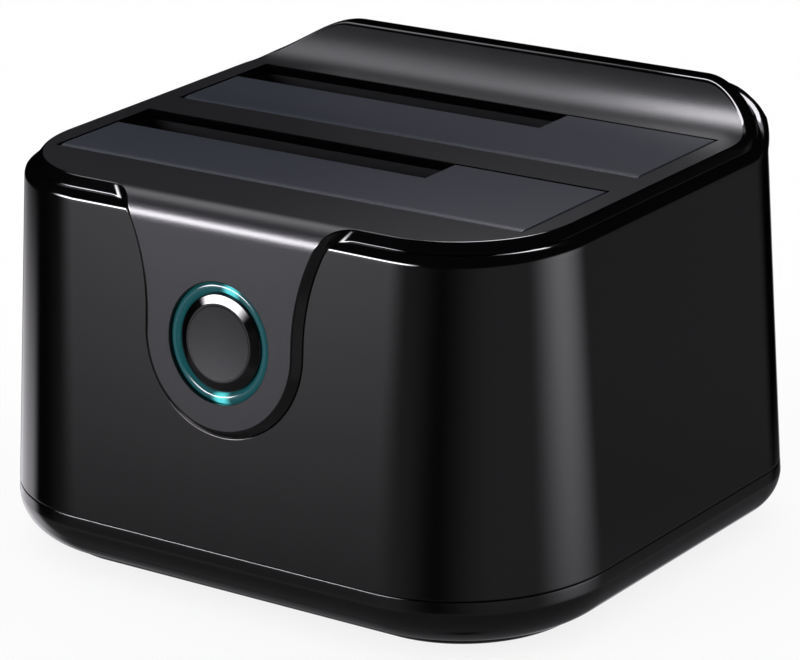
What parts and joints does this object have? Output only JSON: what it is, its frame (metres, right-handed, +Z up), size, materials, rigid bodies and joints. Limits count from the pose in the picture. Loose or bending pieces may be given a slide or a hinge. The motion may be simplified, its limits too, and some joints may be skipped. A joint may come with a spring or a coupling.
{
  "type": "drive duplicator",
  "caption": "Desktop drive duplicator with notched spring flaps over standing drive bays, a raised rear rim and a start button in a light ring on a front tongue.",
  "frame": {"origin": "on the surface that the feet rest on, under the middle of the housing's outline", "axes": "+Z up; the start button faces -Y; the bays are long in X and one behind the other in Y; the small-drive notches are towards -X and +Y"},
  "size_m": [0.1256, 0.1038, 0.0815],
  "materials": {
    "board_green": "solder-masked board",
    "cap_satin": "polished ABS",
    "chip_black": "moulded epoxy",
    "connector_black": "glass-filled nylon",
    "contact_gold": "gold plated contact",
    "deck_satin": "satin moulded ABS",
    "flap_satin": "satin moulded ABS",
    "foot_rubber": "soft matt rubber",
    "housing_gloss": "high gloss moulded ABS",
    "lamp_clear": "clear epoxy",
    "pin_steel": "ground steel",
    "plunger_plastic": "moulded acetal",
    "port_insulator": "moulded nylon",
    "port_steel": "nickel plated steel",
    "ribbon_white": "flat polyester cable",
    "ring_clear": "tinted clear acrylic",
    "rocker_black": "polished nylon",
    "screw_steel": "black zinc steel",
    "spring_steel": "drawn spring wire",
    "switch_black": "moulded nylon",
    "well_black": "matt moulded ABS"
  },
  "bodies": {
    "housing": {"outer_shell": "housing_gloss", "top_cover": "deck_satin", "base_tray": "housing_gloss", "rubber_feet": "foot_rubber", "case_screws": "screw_steel", "front_hinge_pin": "pin_steel", "rear_hinge_pin": "pin_steel", "front_flap_spring": "spring_steel", "rear_flap_spring": "spring_steel", "front_bay_well": "well_black", "rear_bay_well": "well_black", "front_drive_connector": "connector_black", "rear_drive_connector": "connector_black", "front_drive_contacts": "contact_gold", "rear_drive_contacts": "contact_gold", "button_ring": "ring_clear", "button_switch_body": "switch_black", "button_board": "board_green", "button_board_screws": "screw_steel", "ring_lights": "lamp_clear", "main_board": "board_green", "board_screws": "screw_steel", "bridge_chip": "chip_black", "memory_chips": "chip_black", "usb_port_shell": "port_steel", "usb_port_tongues": "port_insulator", "dc_jack": "switch_black", "dc_jack_pin": "port_steel", "power_switch": "switch_black", "button_ribbon": "ribbon_white", "ribbon_sockets": "port_insulator"},
    "front_flap": {"front_bay_flap": "flap_satin"},
    "rear_flap": {"rear_bay_flap": "flap_satin"},
    "button": {"button_cap": "cap_satin", "button_switch_plunger": "plunger_plastic"},
    "rocker": {"power_rocker": "rocker_black"}
  },
  "joints": [
    {"name": "front_flap_hinge", "type": "hinge", "parent": "housing", "child": "front_flap", "pos_m": [0, -0.03307, 0.07108], "axis": [-1, 0, 0], "range_deg": [0, 88], "stiffness_Nm_per_rad": 0.001, "springref_deg": -114.59},
    {"name": "rear_flap_hinge", "type": "hinge", "parent": "housing", "child": "rear_flap", "pos_m": [0, 0.0032, 0.07108], "axis": [-1, 0, 0], "range_deg": [0, 88], "stiffness_Nm_per_rad": 0.001, "springref_deg": -114.59},
    {"name": "button_press", "type": "slide", "parent": "housing", "child": "button", "axis": [0, 0.9949, -0.1012], "range_m": [0, 0.0006], "stiffness_N_per_m": 2500, "springref_m": -0.0002},
    {"name": "rocker_tilt", "type": "hinge", "parent": "housing", "child": "rocker", "pos_m": [-0.026, 0.0455, 0.01775], "axis": [0, 0, -1], "range_deg": [0, 12]}
  ]
}
